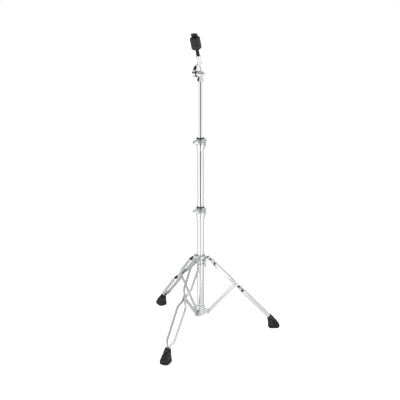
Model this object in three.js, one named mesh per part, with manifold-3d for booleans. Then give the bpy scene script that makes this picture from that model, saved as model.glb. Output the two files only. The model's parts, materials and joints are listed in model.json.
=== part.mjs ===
import * as THREE from "three";
import { mergeVertices } from "three/addons/utils/BufferGeometryUtils.js";
import Module from "manifold-3d";

const wasm = await Module();
wasm.setup();

// Sizes shared by all pieces, in millimetres, angles in degrees

const gap = 0.3;
const overrun = 6;
const roundSides = 24;
const smallSides = 10;
const rivetSides = 8;
const hubSides = 16;
const arcSteps = 3;
const wall = 1.2;

// Tubes: each slides in the one below, with some play

const base = { radius: 14.3, low: 66, high: 482 };
const middleFit = { play: 0.8, inserted: 173, drawnOut: 255.5 };
const middle = tubeIn(base, middleFit);
const upperFit = { play: 0.3, inserted: 171.5, drawnOut: 217.5 };
const upper = tubeIn(middle, upperFit);
const plug = { flangeHeight: 1.7, depth: 8 };

function tubeIn(outer, fit) {
  const radius = outer.radius - wall - fit.play;
  return { radius, low: outer.high - fit.inserted, high: outer.high + fit.drawnOut };
}

// Tripod linkage

const legAngles = { a: 124.8, b: 244.8, c: 4.8 };
const leanAngle = 43.5;
const link = { length: 152, pivotOut: 15.2, pivotRise: 8 };
const bar = { width: 14, thickness: 4 };
const rivet = { radius: 2.6, headRadius: 4.8, headHeight: 1.8, flatHeight: 0.8, domeShare: 0.62 };
const strip = { width: 13, depth: 4.5, sheet: 1.5 };
const upperBow = { from: 5, rise: 30, fallFrom: 114, fall: 31, first: 15.5, last: 14.6 };
const lowerBow = { from: 159, rise: 34, beforeMouth: 30, fall: 28, first: 16.8, last: 14.2 };
const bowSteps = 3;

// Lower hub

const hub = { wall: 2, height: 38, chamfer: 1.2 };
const hubEar = { thickness: 4, radius: 7, sunk: 2.2, height: 24 };
const hubEarAngle = 55;

// Leg collar

const collar = { wall: 2.8, below: 18.5, above: 11.5, chamfer: 1.6 };
const collarBush = { wall: 1.8, lip: 1.6, lipOut: 1.4 };
const collarEar = { thickness: 4, radius: 6.2, sunk: 2.5, below: 12.5, above: 9.5 };
const collarEarAngle = 60;
const collarBoss = { radius: 7, out: 6, drop: 5.5 };
const collarBossAngle = 304.8;

// Boots: sections from the sole to the mouth, with shares of mouth height, of the sole's place, of
// the change from mouth size to sole size, and of the leg's lean

const boot = { points: 14, squareness: 3.2, grooveDepth: 0.9 };
const mouth = { height: 45.5, length: 10, width: 10.6 };
const sole = { out: 19.5, length: 23, width: 19.6 };
const sectionShares = [
  [0, 1, 0.8, 0], [0.057, 1, 1, 0], [0.189, 1, 1, 0.046], [0.33, 0.887, 0.853, 0.184],
  [0.497, 0.677, 0.627, 0.391], [0.681, 0.426, 0.38, 0.644], [0.853, 0.195, 0.165, 0.874], [1, 0, 0, 1],
];
const grooveShares = [{ section: 3, from: 0.3, to: 0.62 }, { section: 4, from: 0.5, to: 0.82 }];
const grooveLipShare = 0.06;
const inBoot = { spacerStart: 6, rivet: 19, stripEnd: 24 };
const spacer = { thickness: 4, width: 12 };
const reliefRadius = 5.6;

// Tube clamps

const clampSize = { wall: 2.2, above: 10, wide: 19, total: 41.5, rim: 1.3, chamfer: 1 };
const clampEar = { left: 22, right: 9, radius: 8.4, out: 9, drop: 9.5 };
const clampSlot = { width: 2.4, depth: 32 };
const lip = { out: 1.2, height: 2.6, chamfer: 0.8 };
const clampNut = { radius: 6.2, length: 5 };
const hexSides = 6;

// Wing bolts

const wingAngle = 14;
const clampWing = { shank: 3, tail: 38, hub: 5.4, hubLength: 10.5, span: 30, lobe: 6.2, rise: 6, sheet: 4 };
const collarWing = { shank: 3, tail: 8.6, hub: 6, hubLength: 10, span: 42, lobe: 6.4, rise: 6, sheet: 4 };
const tiltWing = { shank: 3.5, tail: 41.5, hub: 6, hubLength: 10.5, span: 32, lobe: 6.2, rise: 6, sheet: 4 };
const wingBevel = 0.7;
const wingRootShare = 0.3;

// Tilter

const tiltRise = 21;
const tiltTurnAngle = -32;
const tiltLeanAngle = 20;
const tiltCollar = { lowWall: 1.9, highWall: 1, grip: 10, above: 2, neck: 9, neckAbove: 7.6, top: 15 };
const barrel = { radius: 12, from: -10.5, to: 8 };
const brake = { radius: 12.6, from: -13.3, to: -10.8 };
const drum = { radius: 15, from: -28, to: -13.6, chamfer: 1.8 };
const bridge = { half: 5.6, under: 12.9, right: 8.6, top: 39, topRight: 10, topLeft: -12, leftHigh: 16 };
const rodOffset = 5;
const neck = { low: 37, lowRadius: 8.2, radius: 9, straight: 39, top: 68, chamfer: 1.2 };
const rodSocket = 46;
const tiltNut = { radius: 5.8, length: 3.6 };

// Rod, sleeve, felts and wing nut, measured along the rod from the tilter's pivot

const threadRadius = 3;
const sleeveRadius = 6.3;
const seat = { radius: 14.5, low: 91.6, thickness: 2.1 };
const felt = { radius: 18, height: 18.7, low: 94, edge: 1.5 };
const topNut = { flange: 14.5, flangeHeight: 3, hub: 6.8, height: 14.2, lobe: 4.3, spread: 7.8, sheet: 6.4 };
const topNutCap = 2.4;

// Surface materials

const finishes = {
  chrome: { color: 0xd5d7d9, roughness: 0.12, metalness: 1 },
  steel: { color: 0xb9bbbd, roughness: 0.3, metalness: 1 },
  rubber: { color: 0x18191a, roughness: 0.75, metalness: 0 },
  nylon: { color: 0x1c1c1e, roughness: 0.42, metalness: 0 },
  felt: { color: 0x1a1a1b, roughness: 0.96, metalness: 0 },
};

// Solid tools

const radians = THREE.MathUtils.degToRad;
const upAxis = new THREE.Vector3(0, 0, 1);

function solidOf(geometry) {
  const plain = geometry.clone();
  plain.deleteAttribute("normal");
  plain.deleteAttribute("uv");
  const merged = mergeVertices(plain);
  const position = merged.attributes.position;
  const corner = [new THREE.Vector3(), new THREE.Vector3(), new THREE.Vector3()];
  const faces = [];
  let volume = 0;
  for (let first = 0; first < merged.index.count; first += 3) {
    const face = [0, 1, 2].map((step) => merged.index.getX(first + step));
    if (new Set(face).size === 3) {
      faces.push(face);
      face.forEach((vertex, step) => corner[step].fromBufferAttribute(position, vertex));
      volume += corner[0].dot(corner[1].clone().cross(corner[2]));
    }
  }
  if (volume < 0) {
    faces.forEach((face) => face.reverse());
  }
  const mesh = new wasm.Mesh({
    numProp: 3,
    vertProperties: Float32Array.from(position.array),
    triVerts: Uint32Array.from(faces.flat()),
  });
  return new wasm.Manifold(mesh);
}

function geometryOf(solid) {
  const mesh = solid.getMesh();
  const geometry = new THREE.BufferGeometry();
  geometry.setAttribute("position", new THREE.BufferAttribute(mesh.vertProperties, 3));
  geometry.setIndex(new THREE.BufferAttribute(mesh.triVerts, 1));
  return geometry;
}

const join = (...shapes) => geometryOf(shapes.map(solidOf).reduce((sum, next) => sum.add(next)));
const meet = (one, other) => geometryOf(solidOf(one).intersect(solidOf(other)));

function cut(shape, ...tools) {
  return geometryOf(tools.map(solidOf).reduce((rest, tool) => rest.subtract(tool), solidOf(shape)));
}

function cylinder(radius, from, to, sides = roundSides) {
  const shape = new THREE.CylinderGeometry(radius, radius, to - from, sides);
  return shape.rotateX(Math.PI / 2).translate(0, 0, (from + to) / 2);
}

function box(low, high) {
  const size = high.map((value, axis) => value - low[axis]);
  return new THREE.BoxGeometry(...size).translate(...high.map((value, axis) => (value + low[axis]) / 2));
}

function turned(profile, sides = roundSides) {
  const points = profile.map(([radius, height]) => new THREE.Vector2(radius, height));
  return new THREE.LatheGeometry(points, sides).rotateX(Math.PI / 2);
}

function ring(inner, profile, sides) {
  const low = [inner, profile[0][1]];
  const high = [inner, profile[profile.length - 1][1]];
  return turned([low, ...profile, high, low], sides);
}

function plate(outline, thickness, bevel = 0) {
  const settings = { depth: thickness - 2 * bevel, curveSegments: arcSteps, bevelEnabled: bevel > 0 };
  Object.assign(settings, { bevelThickness: bevel, bevelSize: bevel, bevelOffset: -bevel, bevelSegments: 1 });
  return new THREE.ExtrudeGeometry(outline, settings).translate(0, 0, bevel - thickness / 2);
}

function slotOutline(start, end, radius) {
  const angle = Math.atan2(end.y - start.y, end.x - start.x);
  const outline = new THREE.Shape();
  outline.absarc(start.x, start.y, radius, angle + Math.PI / 2, angle + 1.5 * Math.PI);
  outline.absarc(end.x, end.y, radius, angle - Math.PI / 2, angle + Math.PI / 2);
  outline.closePath();
  return outline;
}

const upright = (shape) => shape.rotateX(Math.PI / 2);
const crosswise = (shape) => shape.rotateY(Math.PI / 2);

function aimed(shape, across, along, origin) {
  const third = along.clone().cross(across);
  return shape.applyMatrix4(new THREE.Matrix4().makeBasis(across, third, along).setPosition(origin));
}

function skinned(rings) {
  const count = rings[0].length;
  const faces = [];
  for (let row = 0; row < rings.length - 1; row += 1) {
    for (let step = 0; step < count; step += 1) {
      const here = row * count + step;
      const next = row * count + ((step + 1) % count);
      faces.push(here, next, next + count, here, next + count, here + count);
    }
  }
  return { count, faces, points: rings.flat() };
}

function capped(rings, outline) {
  const { count, faces, points } = skinned(rings);
  const last = (rings.length - 1) * count;
  for (const [one, two, three] of THREE.ShapeUtils.triangulateShape(outline, [])) {
    faces.push(three, two, one, last + one, last + two, last + three);
  }
  const geometry = new THREE.BufferGeometry().setFromPoints(points);
  geometry.setIndex(faces);
  return geometry;
}

// Wing bolt along +Z: hub from zero upwards, shank below, wings along X

function wingBolt(size) {
  const reach = size.span / 2 - size.lobe;
  const centre = size.hubLength - size.lobe + size.rise / 2;
  const outline = new THREE.Shape();
  outline.moveTo(0, size.hubLength * wingRootShare);
  outline.absarc(reach, centre, size.lobe, -Math.PI / 2, Math.PI / 2);
  outline.lineTo(0, size.hubLength - wingBevel);
  outline.closePath();
  const right = upright(plate(outline, size.sheet, wingBevel));
  const left = right.clone().rotateZ(Math.PI);
  const body = turned([[0, 0], [size.hub, 0], [size.hub, size.hubLength - wingBevel],
    [size.hub - wingBevel, size.hubLength], [0, size.hubLength]], hubSides);
  return join(body, right, left, cylinder(size.shank, -size.tail, wingBevel, smallSides));
}

// Named pieces gathered in one group

const stand = new THREE.Group();

function piece(name, geometry, finish, holder = stand) {
  geometry.computeVertexNormals();
  const mesh = new THREE.Mesh(geometry, new THREE.MeshStandardMaterial(finishes[finish]));
  mesh.name = name;
  holder.add(mesh);
  return mesh;
}

// Three nested tubes and the plug in the lowest end

for (const [name, tube] of Object.entries({ base, middle, upper })) {
  const shape = ring(tube.radius - wall, [[tube.radius, tube.low], [tube.radius, tube.high]]);
  piece(`${name}_tube`, shape, "chrome");
}
const plugRadius = base.radius - wall - gap;
const plugTop = base.low - gap;
const plugLow = plugTop - plug.flangeHeight;
const plugFlange = base.radius - gap;
const plugProfile = [[0, plugLow], [plugFlange, plugLow], [plugFlange, plugTop], [plugRadius, plugTop],
  [plugRadius, plugTop + plug.depth], [0, plugTop + plug.depth]];
piece("base_end_plug", turned(plugProfile), "nylon");

// Lug outline in the upright plane of a leg: from the body to a round end at the pivot

function lugOutline(inner, low, high, pivot, radius, endAngle) {
  const outline = new THREE.Shape();
  outline.moveTo(inner, low);
  outline.absarc(pivot.x, pivot.y, radius, -Math.PI / 2, radians(endAngle));
  outline.lineTo(inner, high);
  outline.closePath();
  return outline;
}

const lean = radians(leanAngle);
const hubPivot = new THREE.Vector2(base.radius + link.pivotOut, base.low + link.pivotRise);
const linkAlong = new THREE.Vector2(Math.sin(lean), Math.cos(lean)).multiplyScalar(link.length);
const middlePivot = hubPivot.clone().add(linkAlong);
const upperPivot = new THREE.Vector2(hubPivot.x, 2 * middlePivot.y - hubPivot.y);
const rivetHole = rivet.radius + gap;

function crossHole(at, length) {
  return upright(cylinder(rivetHole, -length, length, smallSides)).translate(at.x, 0, at.y);
}

// Lower hub with three forked lugs

const halfSlot = bar.thickness / 2 + gap;
const hubTop = base.low + hub.height;
const hubBore = base.radius + gap;
const hubRadius = hubBore + hub.wall;
const hubProfile = [[hubRadius - hub.chamfer, base.low], [hubRadius, base.low + hub.chamfer],
  [hubRadius, hubTop - hub.chamfer], [hubRadius - hub.chamfer, hubTop]];
const hubEarAt = halfSlot + hubEar.thickness / 2;
const hubParts = [ring(hubBore, hubProfile)];
const hubHoles = [];
for (const azimuth of Object.values(legAngles)) {
  for (const side of [-1, 1]) {
    const outline = lugOutline(hubRadius - hubEar.sunk, base.low + hub.chamfer, base.low + hubEar.height,
      hubPivot, hubEar.radius, hubEarAngle);
    const ear = upright(plate(outline, hubEar.thickness)).translate(0, side * hubEarAt, 0);
    hubParts.push(ear.rotateZ(radians(azimuth)));
  }
  hubHoles.push(crossHole(hubPivot, hubEarAt + hubEar.thickness).rotateZ(radians(azimuth)));
}
const hubCore = cylinder(hubBore, base.low - overrun, hubTop + overrun);
piece("lower_hub", cut(join(...hubParts), hubCore, ...hubHoles), "chrome");

// Leg collar with three single lugs, its bushing and its wing bolt

const bushInner = base.radius + gap;
const bushOuter = bushInner + collarBush.wall;
const collarBore = bushOuter + gap;
const collarLow = upperPivot.y - collar.below;
const collarHigh = upperPivot.y + collar.above;
const collarRadius = collarBore + collar.wall;
const collarEdge = collarRadius - collar.chamfer;
const collarProfile = [[collarEdge, collarLow], [collarRadius, collarLow + collar.chamfer],
  [collarRadius, collarHigh - collar.chamfer], [collarEdge, collarHigh]];
const collarParts = [ring(collarBore, collarProfile)];
const collarHoles = [cylinder(collarBore, collarLow - overrun, collarHigh + overrun)];
for (const azimuth of Object.values(legAngles)) {
  const outline = lugOutline(collarRadius - collarEar.sunk, upperPivot.y - collarEar.below,
    upperPivot.y + collarEar.above, upperPivot, collarEar.radius, collarEarAngle);
  collarParts.push(upright(plate(outline, collarEar.thickness)).rotateZ(radians(azimuth)));
  collarHoles.push(crossHole(upperPivot, collarEar.thickness).rotateZ(radians(azimuth)));
}
const bossTurn = radians(collarBossAngle);
const bossEnd = collarRadius + collarBoss.out;
const bossHeight = upperPivot.y - collarBoss.drop;
const bossPlace = (shape) => crosswise(shape).translate(0, 0, bossHeight).rotateZ(bossTurn);
collarParts.push(bossPlace(cylinder(collarBoss.radius, collarRadius - collarEar.sunk, bossEnd)));
collarHoles.push(bossPlace(cylinder(collarWing.shank + gap, 0, bossEnd + overrun, smallSides)));
piece("leg_collar", cut(join(...collarParts), ...collarHoles), "chrome");

const bushLip = collarLow - gap;
const lipRadius = bushOuter + collarBush.lipOut;
const bushProfile = [[lipRadius, bushLip - collarBush.lip], [lipRadius, bushLip],
  [bushOuter, bushLip], [bushOuter, collarHigh]];
piece("leg_collar_bushing", ring(bushInner, bushProfile), "nylon");

const bossAxis = new THREE.Vector3(Math.cos(bossTurn), Math.sin(bossTurn), 0);
const bossFace = bossAxis.clone().multiplyScalar(bossEnd + gap).setZ(bossHeight);
piece("leg_collar_wing_bolt", aimed(wingBolt(collarWing), upAxis, bossAxis, bossFace), "chrome");

// Half distance between a leg's two strips at a distance along the leg

const eased = (share) => {
  const held = Math.min(Math.max(share, 0), 1);
  return held * held * (3 - 2 * held);
};
const closedOffset = bar.thickness / 2 + gap + strip.depth / 2;
const mouthAt = (upperPivot.y - mouth.height) / Math.cos(lean);
const mouthRadial = upperPivot.x + mouthAt * Math.sin(lean);
const stripEnd = mouthAt + inBoot.stripEnd;
const footRivetAt = mouthAt + inBoot.rivet;
const bows = [upperBow, { ...lowerBow, fallFrom: mouthAt - lowerBow.beforeMouth }];

function bowAt(distance) {
  let offset = closedOffset;
  for (const bow of bows) {
    const along = (distance - bow.from) / (bow.fallFrom + bow.fall - bow.from);
    const open = THREE.MathUtils.lerp(bow.first, bow.last, along) - closedOffset;
    const rising = eased((distance - bow.from) / bow.rise);
    const falling = eased((bow.fallFrom + bow.fall - distance) / bow.fall);
    offset += open * rising * falling;
  }
  return offset;
}

function bowStations() {
  const stations = [-strip.width];
  for (const bow of bows) {
    for (const [start, length] of [[bow.from, bow.rise], [bow.fallFrom, bow.fall]]) {
      for (let step = 0; step <= bowSteps; step += 1) {
        stations.push(start + (length * step) / bowSteps);
      }
    }
  }
  stations.push(stripEnd + strip.width);
  return stations;
}

// Pressed channel strip of a leg, open towards the other strip

const legAlong = new THREE.Vector3(Math.sin(lean), 0, -Math.cos(lean));
const legAcross = new THREE.Vector3(Math.cos(lean), 0, Math.sin(lean));
const legStart = new THREE.Vector3(upperPivot.x, 0, upperPivot.y);
const legPoint = (distance) => legAlong.clone().multiplyScalar(distance).add(legStart);
const flat = (point) => new THREE.Vector2(point.x, point.z);

function channelOutline() {
  const half = strip.width / 2;
  const inner = half - strip.sheet;
  const right = [[half, 0], [half, strip.depth]];
  const left = right.map(([across, depth]) => [-across, depth]).reverse();
  const web = strip.depth - strip.sheet;
  const inside = [[-inner, 0], [-inner, web], [inner, web], [inner, 0]];
  return [...right, ...left, ...inside].map(([across, depth]) => new THREE.Vector2(across, depth));
}

function stripShape(side) {
  const outline = channelOutline();
  const rings = bowStations().map((distance) => {
    const slope = (bowAt(distance + gap) - bowAt(distance - gap)) / (2 * gap);
    const norm = Math.hypot(slope, 1);
    return outline.map(({ x, y }) => {
      const depth = y - strip.depth / 2;
      const point = legPoint(distance - (depth * slope) / norm).addScaledVector(legAcross, x);
      return point.setY(side * (bowAt(distance) + depth / norm));
    });
  });
  const wide = lowerBow.first + strip.depth;
  const keep = plate(slotOutline(flat(legPoint(0)), flat(legPoint(stripEnd)), strip.width / 2), 2 * wide);
  const holes = [0, link.length, footRivetAt].map((distance) => crossHole(flat(legPoint(distance)), wide));
  return cut(meet(capped(rings, outline), upright(keep)), ...holes);
}

// Rivet across a leg, with equal heads

function rivetShape(half, headHeight) {
  const dome = rivet.headRadius * rivet.domeShare;
  const end = -half - headHeight;
  const low = [[0, end], [dome, end], [rivet.headRadius, -half], [rivet.radius, -half]];
  const high = low.map(([radius, height]) => [radius, -height]).reverse();
  return upright(turned([...low, ...high], rivetSides));
}

// Rubber boot with a level sole, a mouth square to the leg and a pocket for the strips

function bootRing([heightShare, outShare, sizeShare, tiltShare], inset) {
  const tilt = tiltShare * lean;
  const along = new THREE.Vector3(Math.cos(tilt), 0, Math.sin(tilt));
  const centre = new THREE.Vector3(mouthRadial + sole.out * outShare, 0, mouth.height * heightShare);
  const length = THREE.MathUtils.lerp(mouth.length, sole.length, sizeShare) - inset;
  const width = THREE.MathUtils.lerp(mouth.width, sole.width, sizeShare) - inset;
  const power = 2 / boot.squareness;
  const points = [];
  for (let step = 0; step < boot.points; step += 1) {
    const angle = (2 * Math.PI * step) / boot.points;
    const x = Math.sign(Math.cos(angle)) * Math.abs(Math.cos(angle)) ** power * length;
    const y = Math.sign(Math.sin(angle)) * Math.abs(Math.sin(angle)) ** power * width;
    points.push(centre.clone().addScaledVector(along, x).setY(y));
  }
  return points;
}

function blended(one, other, share) {
  return one.map((value, column) => THREE.MathUtils.lerp(value, other[column], share));
}

function bootShape() {
  const rings = [];
  sectionShares.forEach((section, order) => {
    rings.push(bootRing(section, 0));
    for (const groove of grooveShares.filter((entry) => entry.section === order)) {
      const next = sectionShares[order + 1];
      const shares = [[groove.from, 0], [groove.from + grooveLipShare, boot.grooveDepth],
        [groove.to - grooveLipShare, boot.grooveDepth], [groove.to, 0]];
      shares.forEach(([share, inset]) => rings.push(bootRing(blended(section, next, share), inset)));
    }
  });
  const outline = rings[0].map(({ x, y }) => new THREE.Vector2(x, y));
  const half = strip.width / 2 + gap;
  const top = legPoint(mouthAt - strip.width);
  const pocketHalf = closedOffset + strip.depth / 2 + gap;
  const pocket = plate(slotOutline(flat(top), flat(legPoint(stripEnd)), half), 2 * pocketHalf);
  const reliefHalf = pocketHalf + gap + rivet.flatHeight;
  const reliefAt = flat(legPoint(footRivetAt));
  const reliefOutline = slotOutline(reliefAt, reliefAt.clone().addScalar(gap), reliefRadius);
  const relief = plate(reliefOutline, 2 * reliefHalf);
  return cut(capped(rings, outline), upright(pocket), upright(relief));
}

// Three legs, each with its brace, rivets, boot and spacer

const pinHalf = closedOffset + strip.depth / 2 + gap;
const hubPinHalf = hubEarAt + hubEar.thickness / 2 + gap;
const braceOutline = slotOutline(hubPivot, middlePivot, bar.width / 2);
for (const [letter, azimuth] of Object.entries(legAngles)) {
  const leg = new THREE.Group();
  leg.rotation.z = radians(azimuth);
  stand.add(leg);
  piece(`leg_${letter}_strip_left`, stripShape(1), "chrome", leg);
  piece(`leg_${letter}_strip_right`, stripShape(-1), "chrome", leg);
  const holes = [hubPivot, middlePivot].map((pivot) => crossHole(pivot, bar.thickness));
  piece(`brace_${letter}`, cut(upright(plate(braceOutline, bar.thickness)), ...holes), "chrome", leg);
  const footPivot = flat(legPoint(footRivetAt));
  const rivets = [["upper", upperPivot, pinHalf, rivet.headHeight],
    ["mid", middlePivot, pinHalf, rivet.headHeight],
    ["lower", hubPivot, hubPinHalf, rivet.headHeight], ["foot", footPivot, pinHalf, rivet.flatHeight]];
  for (const [place, at, half, height] of rivets) {
    piece(`rivet_${letter}_${place}`, rivetShape(half, height).translate(at.x, 0, at.y), "steel", leg);
  }
  piece(`foot_${letter}`, bootShape(), "rubber", leg);
  const tongueStart = flat(legPoint(mouthAt + inBoot.spacerStart + spacer.width / 2));
  const tongue = slotOutline(tongueStart, flat(legPoint(stripEnd)), spacer.width / 2);
  const tongueHole = crossHole(footPivot, spacer.thickness);
  piece(`foot_spacer_${letter}`, cut(upright(plate(tongue, spacer.thickness)), tongueHole), "steel", leg);
}

// Split clamp on the upper end of a tube, with bushing, nut and wing bolt

const clampRadius = base.radius + gap + clampSize.wall;
const clampLip = base.radius + lip.out;

function addClamp(name, outer, inner) {
  const top = outer.high + clampSize.above;
  const bore = outer.radius + gap;
  const profile = [[bore + clampSize.rim, top - clampSize.total], [clampRadius, top - clampSize.wide],
    [clampRadius, top - clampSize.chamfer], [clampRadius - clampSize.chamfer, top]];
  const axis = { y: -clampRadius - clampEar.out, z: top - clampEar.drop };
  const outline = slotOutline({ x: 0, y: -clampEar.radius }, { x: 0, y: axis.y }, clampEar.radius);
  const thickness = clampEar.left + clampEar.right;
  const earMiddle = (clampEar.right - clampEar.left) / 2;
  const ears = crosswise(plate(outline, thickness)).translate(earMiddle, 0, axis.z);
  const drill = cylinder(clampWing.shank + gap, -thickness, thickness, smallSides);
  const hole = crosswise(drill).translate(0, axis.y, axis.z);
  const slotLow = [-clampSlot.width / 2, axis.y - 2 * clampEar.radius, top - clampSlot.depth];
  const slot = box(slotLow, [clampSlot.width / 2, 0, top + overrun]);
  const core = cylinder(bore, top - clampSize.total - overrun, top + overrun);
  piece(`${name}_clamp`, cut(join(ring(bore, profile), ears), core, slot, hole), "chrome");

  const lipLow = top + gap;
  const bushing = [[outer.radius, outer.high + gap], [outer.radius, lipLow], [clampLip, lipLow],
    [clampLip, lipLow + lip.height - lip.chamfer], [clampLip - lip.chamfer, lipLow + lip.height]];
  piece(`${name}_clamp_bushing`, ring(inner.radius + gap, bushing), "nylon");

  const nutEnd = -clampEar.left - gap;
  const nut = cut(cylinder(clampNut.radius, nutEnd - clampNut.length, nutEnd, hexSides),
    cylinder(clampWing.shank + gap, nutEnd - clampNut.length - overrun, nutEnd + overrun, smallSides));
  piece(`${name}_clamp_nut`, crosswise(nut).translate(0, axis.y, axis.z), "steel");

  const turn = radians(wingAngle);
  const across = new THREE.Vector3(0, Math.cos(turn), Math.sin(turn));
  const place = new THREE.Vector3(clampEar.right + gap, axis.y, axis.z);
  const bolted = aimed(wingBolt(clampWing), across, new THREE.Vector3(1, 0, 0), place);
  piece(`${name}_clamp_wing_bolt`, bolted, "chrome");
}

addClamp("base", base, middle);
addClamp("middle", middle, upper);

// Tilter: the casting fixed on the upper tube

const tiltPost = new THREE.Group();
tiltPost.rotation.z = radians(tiltTurnAngle);
stand.add(tiltPost);
const socket = upper.radius + gap;
const socketTop = upper.high + gap;
const tiltHeight = upper.high + tiltRise;
const collarFoot = socket + tiltCollar.lowWall;
const collarShoulder = socket + tiltCollar.highWall;
const gripLow = upper.high - tiltCollar.grip;
const postTop = upper.high + tiltCollar.top;
const postProfile = [[0, socketTop], [socket, socketTop], [socket, gripLow], [collarFoot, gripLow],
  [collarShoulder, upper.high + tiltCollar.above], [tiltCollar.neck, upper.high + tiltCollar.neckAbove],
  [tiltCollar.neck, postTop], [0, postTop]];
const post = join(turned(postProfile), crosswise(cylinder(barrel.radius, barrel.from, barrel.to))
  .translate(0, 0, tiltHeight));
const tiltHole = tiltWing.shank + gap;
const postHole = crosswise(cylinder(tiltHole, barrel.from - overrun, barrel.to + overrun, smallSides));
piece("tilter_base", cut(post, postHole.translate(0, 0, tiltHeight)), "chrome", tiltPost);

const brakeShape = ring(tiltHole, [[brake.radius, brake.from], [brake.radius, brake.to]]);
piece("tilter_brake_ring", crosswise(brakeShape).translate(0, 0, tiltHeight), "nylon", tiltPost);

const tiltBolt = aimed(wingBolt(tiltWing), new THREE.Vector3(0, 1, 0), new THREE.Vector3(1, 0, 0),
  new THREE.Vector3(barrel.to + gap, 0, tiltHeight));
piece("tilter_wing_bolt", tiltBolt, "chrome", tiltPost);

const tiltNutEnd = drum.from - gap;
const tiltNutShape = cut(cylinder(tiltNut.radius, tiltNutEnd - tiltNut.length, tiltNutEnd, hexSides),
  cylinder(tiltHole, tiltNutEnd - tiltNut.length - overrun, tiltNutEnd + overrun, smallSides));
piece("tilter_nut", crosswise(tiltNutShape).translate(0, 0, tiltHeight), "steel", tiltPost);

// Tilter: the leaning head with drum, bridge and rod holder

const leaning = new THREE.Group();
leaning.position.z = tiltHeight;
leaning.rotation.x = radians(tiltLeanAngle);
const leanPost = new THREE.Group();
leanPost.rotation.z = radians(tiltTurnAngle);
leanPost.add(leaning);
stand.add(leanPost);

const drumShape = turned([[0, drum.from], [drum.radius - drum.chamfer, drum.from],
  [drum.radius, drum.from + drum.chamfer], [drum.radius, drum.to], [0, drum.to]]);
const bridgeOutline = new THREE.Shape([[drum.from, 0], [drum.to, 0], [drum.to, bridge.under],
  [bridge.right, bridge.under], [bridge.topRight, bridge.top], [bridge.topLeft, bridge.top],
  [drum.from, bridge.leftHigh]].map(([across, height]) => new THREE.Vector2(across, height)));
const rodAxis = new THREE.Group();
rodAxis.position.x = rodOffset;
leaning.add(rodAxis);
const holder = turned([[0, neck.low], [neck.lowRadius, neck.low], [neck.radius, neck.straight],
  [neck.radius, neck.top - neck.chamfer], [neck.radius - neck.chamfer, neck.top], [0, neck.top]])
  .translate(rodOffset, 0, 0);
const headHole = crosswise(cylinder(tiltHole, drum.from - overrun, drum.to + overrun, smallSides));
const rodDrill = cylinder(threadRadius + gap, rodSocket, neck.top + overrun, smallSides);
const rodHole = rodDrill.translate(rodOffset, 0, 0);
const headShape = join(crosswise(drumShape), upright(plate(bridgeOutline, 2 * bridge.half)), holder);
piece("tilter_head", cut(headShape, headHole, rodHole), "chrome", leaning);

// Rod, sleeve, seat, felts and wing nut on the leaning axis

const feltTop = felt.low + 2 * felt.height + gap;
const nutLow = feltTop + gap;
const nutTop = nutLow + topNut.height;
const rodEnd = nutTop - topNutCap - gap;
piece("cymbal_rod", cylinder(threadRadius, rodSocket + gap, rodEnd, smallSides), "steel", rodAxis);
const sleeveProfile = [[sleeveRadius, neck.top + gap], [sleeveRadius, feltTop]];
piece("cymbal_sleeve", ring(threadRadius + gap, sleeveProfile), "nylon", rodAxis);
const feltBore = sleeveRadius + gap;
const seatProfile = [[seat.radius, seat.low], [seat.radius, seat.low + seat.thickness]];
piece("cymbal_seat", ring(feltBore, seatProfile), "nylon", rodAxis);
["lower_felt", "upper_felt"].forEach((name, order) => {
  const low = felt.low + order * (felt.height + gap);
  const profile = [[felt.radius - felt.edge, low], [felt.radius, low + felt.edge],
    [felt.radius, low + felt.height - felt.edge], [felt.radius - felt.edge, low + felt.height]];
  piece(name, ring(feltBore, profile), "felt", rodAxis);
});

const lobeHeight = nutTop - topNut.lobe;
const flangeTop = nutLow + topNut.flangeHeight;
const lobeOutline = new THREE.Shape();
lobeOutline.moveTo(0, nutLow + topNut.flangeHeight / 2);
lobeOutline.lineTo(topNut.spread, nutLow + topNut.flangeHeight / 2);
lobeOutline.absarc(topNut.spread, lobeHeight, topNut.lobe, -Math.PI / 3, Math.PI);
lobeOutline.lineTo(0, lobeHeight);
lobeOutline.closePath();
const lobe = upright(plate(lobeOutline, topNut.sheet, wingBevel));
const nutBody = turned([[0, nutLow], [topNut.flange, nutLow], [topNut.flange, flangeTop],
  [topNut.hub, flangeTop], [topNut.hub, nutTop - wingBevel], [0, nutTop - wingBevel]]);
const nutHole = cylinder(threadRadius + gap, nutLow - overrun, rodEnd + gap, smallSides);
piece("wing_nut", cut(join(nutBody, lobe, lobe.clone().rotateZ(Math.PI)), nutHole), "nylon", rodAxis);

// Origin at the middle of the footprint, on the floor

stand.updateMatrixWorld(true);
const bounds = new THREE.Box3().setFromObject(stand, true);
const centre = bounds.getCenter(new THREE.Vector3());
stand.position.set(-centre.x, -centre.y, -bounds.min.z);

export default stand;
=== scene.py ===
import json
import math

import bmesh
import bpy
from mathutils import Matrix, Vector

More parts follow.
